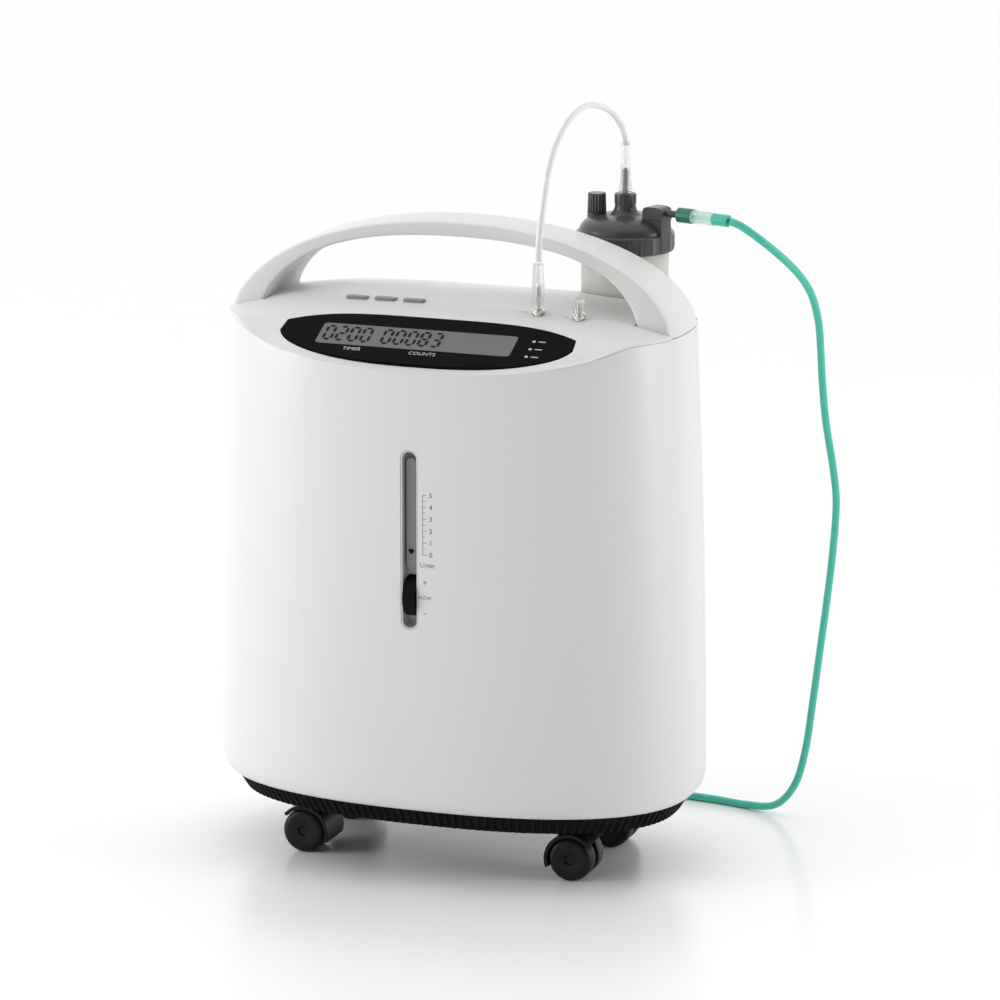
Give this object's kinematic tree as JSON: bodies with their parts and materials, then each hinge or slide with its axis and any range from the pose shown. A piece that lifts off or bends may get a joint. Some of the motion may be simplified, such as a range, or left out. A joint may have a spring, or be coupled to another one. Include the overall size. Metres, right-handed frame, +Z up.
{
  "type": "home oxygen concentrator",
  "caption": "Upright oxygen concentrator with arched carrying handle, sloped display, front flowmeter with thumbwheel, humidifier bottle, outlet tubing and swivel casters.",
  "frame": {"origin": "on the floor below the centre of the housing, at the middle of the footprint without the tubing", "axes": "+Z up, front with the flowmeter towards -Y, +X to the right as seen from the front"},
  "size_m": [0.5295, 0.4373, 0.6855],
  "materials": {
    "base_tray": "matte black plastic",
    "carry_handle": "satin light grey moulded plastic",
    "caster_hood_front_left": "matte black plastic",
    "caster_hood_front_right": "matte black plastic",
    "caster_hood_rear_left": "matte black plastic",
    "caster_hood_rear_right": "matte black plastic",
    "caster_wheels_front_left": "matte black plastic",
    "caster_wheels_front_right": "matte black plastic",
    "caster_wheels_rear_left": "matte black plastic",
    "caster_wheels_rear_right": "matte black plastic",
    "chassis_plate": "zinc-plated sheet",
    "compressor": "cast and drawn aluminium",
    "control_board": "green board with solder mask",
    "dip_tube": "clear moulded plastic",
    "display_window": "gloss black window",
    "fan_frame": "matte black plastic",
    "fan_rotor": "matte black plastic",
    "filter_door": "satin light grey moulded plastic",
    "filter_frame": "matte black plastic",
    "flow_float": "matte black plastic",
    "flow_knob": "matte black plastic",
    "flow_valve_body": "machined brass",
    "flowmeter_bezel": "satin light grey moulded plastic",
    "flowmeter_tube": "clear moulded plastic",
    "front_shell": "satin light grey moulded plastic",
    "heat_exchanger": "cast and drawn aluminium",
    "humidifier_jar": "frosted translucent plastic",
    "humidifier_lid": "dark grey satin plastic",
    "humidifier_well": "satin light grey moulded plastic",
    "intake_filter": "dark open foam",
    "jumper_connector_lower": "clear moulded plastic",
    "jumper_connector_upper": "clear moulded plastic",
    "jumper_tube": "milky soft tube",
    "lcd_module": "grey reflective display",
    "lid_inlet_spigot": "dark grey satin plastic",
    "lid_outlet_elbow": "dark grey satin plastic",
    "oxygen_outlet_nozzle": "bright plated metal",
    "oxygen_tank": "grey plastic",
    "power_inlet": "matte black plastic",
    "power_panel": "matte black plastic",
    "power_rocker": "matte black plastic",
    "rear_grille": "matte black plastic",
    "rear_shell": "satin light grey moulded plastic",
    "relief_valve": "dark grey satin plastic",
    "reset_button": "satin taupe plastic",
    "run_capacitor": "grey plastic",
    "sieve_bed_a": "cast and drawn aluminium",
    "sieve_bed_b": "cast and drawn aluminium",
    "spare_outlet_cap": "clear moulded plastic",
    "spare_outlet_nozzle": "bright plated metal",
    "supply_collar": "dark green ribbed plastic",
    "supply_cuff": "teal green soft tube",
    "supply_end_connector": "dark green ribbed plastic",
    "supply_sleeve": "clear moulded plastic",
    "supply_tube": "teal green soft tube",
    "supply_tube_coil": "teal green soft tube",
    "timer_down_button": "satin taupe plastic",
    "timer_up_button": "satin taupe plastic",
    "top_cover": "satin light grey moulded plastic",
    "valve_manifold": "machined brass"
  },
  "bodies": {
    "housing": {"base_tray": "base_tray", "carry_handle": "carry_handle", "chassis_plate": "chassis_plate", "compressor": "compressor", "control_board": "control_board", "dip_tube": "dip_tube", "display_window": "display_window", "fan_frame": "fan_frame", "filter_frame": "filter_frame", "flow_valve_body": "flow_valve_body", "flowmeter_bezel": "flowmeter_bezel", "flowmeter_tube": "flowmeter_tube", "front_shell": "front_shell", "heat_exchanger": "heat_exchanger", "humidifier_lid": "humidifier_lid", "humidifier_well": "humidifier_well", "intake_filter": "intake_filter", "jumper_connector_lower": "jumper_connector_lower", "jumper_connector_upper": "jumper_connector_upper", "jumper_tube": "jumper_tube", "lcd_module": "lcd_module", "lid_inlet_spigot": "lid_inlet_spigot", "lid_outlet_elbow": "lid_outlet_elbow", "oxygen_outlet_nozzle": "oxygen_outlet_nozzle", "oxygen_tank": "oxygen_tank", "power_inlet": "power_inlet", "power_panel": "power_panel", "rear_grille": "rear_grille", "rear_shell": "rear_shell", "relief_valve": "relief_valve", "run_capacitor": "run_capacitor", "sieve_bed_a": "sieve_bed_a", "sieve_bed_b": "sieve_bed_b", "spare_outlet_nozzle": "spare_outlet_nozzle", "supply_collar": "supply_collar", "supply_cuff": "supply_cuff", "supply_end_connector": "supply_end_connector", "supply_sleeve": "supply_sleeve", "supply_tube": "supply_tube", "supply_tube_coil": "supply_tube_coil", "top_cover": "top_cover", "valve_manifold": "valve_manifold"},
    "caster_front_left": {"caster_hood_front_left": "caster_hood_front_left"},
    "wheels_front_left": {"caster_wheels_front_left": "caster_wheels_front_left"},
    "caster_front_right": {"caster_hood_front_right": "caster_hood_front_right"},
    "wheels_front_right": {"caster_wheels_front_right": "caster_wheels_front_right"},
    "caster_rear_left": {"caster_hood_rear_left": "caster_hood_rear_left"},
    "wheels_rear_left": {"caster_wheels_rear_left": "caster_wheels_rear_left"},
    "caster_rear_right": {"caster_hood_rear_right": "caster_hood_rear_right"},
    "wheels_rear_right": {"caster_wheels_rear_right": "caster_wheels_rear_right"},
    "flow_knob": {"flow_knob": "flow_knob"},
    "flow_float": {"flow_float": "flow_float"},
    "timer_up_button": {"timer_up_button": "timer_up_button"},
    "timer_down_button": {"timer_down_button": "timer_down_button"},
    "reset_button": {"reset_button": "reset_button"},
    "power_rocker": {"power_rocker": "power_rocker"},
    "filter_door": {"filter_door": "filter_door"},
    "fan_rotor": {"fan_rotor": "fan_rotor"},
    "humidifier_jar": {"humidifier_jar": "humidifier_jar"},
    "spare_outlet_cap": {"spare_outlet_cap": "spare_outlet_cap"}
  },
  "joints": [
    {"name": "caster_front_left_swivel", "type": "hinge", "parent": "housing", "child": "caster_front_left", "pos_m": [-0.114, -0.053, 0.051], "axis": [0, 0, 1], "continuous": true},
    {"name": "wheels_front_left_spin", "type": "hinge", "parent": "caster_front_left", "child": "wheels_front_left", "pos_m": [-0.128, -0.053, 0.01962], "axis": [0, 1, 0], "continuous": true},
    {"name": "caster_front_right_swivel", "type": "hinge", "parent": "housing", "child": "caster_front_right", "pos_m": [0.114, -0.053, 0.051], "axis": [0, 0, 1], "continuous": true},
    {"name": "wheels_front_right_spin", "type": "hinge", "parent": "caster_front_right", "child": "wheels_front_right", "pos_m": [0.128, -0.053, 0.01962], "axis": [0, 1, 0], "continuous": true},
    {"name": "caster_rear_left_swivel", "type": "hinge", "parent": "housing", "child": "caster_rear_left", "pos_m": [-0.114, 0.055, 0.051], "axis": [0, 0, 1], "continuous": true},
    {"name": "wheels_rear_left_spin", "type": "hinge", "parent": "caster_rear_left", "child": "wheels_rear_left", "pos_m": [-0.128, 0.055, 0.01962], "axis": [0, 1, 0], "continuous": true},
    {"name": "caster_rear_right_swivel", "type": "hinge", "parent": "housing", "child": "caster_rear_right", "pos_m": [0.114, 0.055, 0.051], "axis": [0, 0, 1], "continuous": true},
    {"name": "wheels_rear_right_spin", "type": "hinge", "parent": "caster_rear_right", "child": "wheels_rear_right", "pos_m": [0.128, 0.055, 0.01962], "axis": [0, 1, 0], "continuous": true},
    {"name": "flow_knob_turn", "type": "hinge", "parent": "housing", "child": "flow_knob", "pos_m": [0, -0.121, 0.2654], "axis": [-1, 0, 0], "range_deg": [0, 300]},
    {"name": "flow_float_rise", "type": "slide", "parent": "housing", "child": "flow_float", "axis": [0, 0, 1], "range_m": [0, 0.0536]},
    {"name": "timer_up_button_press", "type": "slide", "parent": "housing", "child": "timer_up_button", "axis": [0, 0, -1], "range_m": [0, 0.0015], "stiffness_N_per_m": 600, "springref_m": -0.0006},
    {"name": "timer_down_button_press", "type": "slide", "parent": "housing", "child": "timer_down_button", "axis": [0, 0, -1], "range_m": [0, 0.0015], "stiffness_N_per_m": 600, "springref_m": -0.0006},
    {"name": "reset_button_press", "type": "slide", "parent": "housing", "child": "reset_button", "axis": [0, 0, -1], "range_m": [0, 0.0015], "stiffness_N_per_m": 600, "springref_m": -0.0006},
    {"name": "power_rocker_tilt", "type": "hinge", "parent": "housing", "child": "power_rocker", "pos_m": [0.10682, 0.12438, 0.115], "axis": [0.9839, -0.1788, 0], "range_deg": [-14, 0]},
    {"name": "filter_door_swing", "type": "hinge", "parent": "housing", "child": "filter_door", "pos_m": [-0.02, 0.1363, 0.3], "axis": [-1, 0, 0], "range_deg": [0, 100]},
    {"name": "fan_rotor_spin", "type": "hinge", "parent": "housing", "child": "fan_rotor", "pos_m": [-0.02, 0.108, 0.18], "axis": [0, 1, 0], "continuous": true},
    {"name": "humidifier_jar_unscrew", "type": "hinge", "parent": "housing", "child": "humidifier_jar", "pos_m": [0.121, 0.095, 0.395], "axis": [0, 0, 1], "range_deg": [0, 120]},
    {"name": "spare_outlet_cap_pull", "type": "slide", "parent": "housing", "child": "spare_outlet_cap", "axis": [0, 0, 1], "range_m": [0, 0.015]}
  ],
  "couplings": [
    {"joint": "flow_float_rise", "follows": "flow_knob_turn", "m_per_rad": 0.010218}
  ]
}
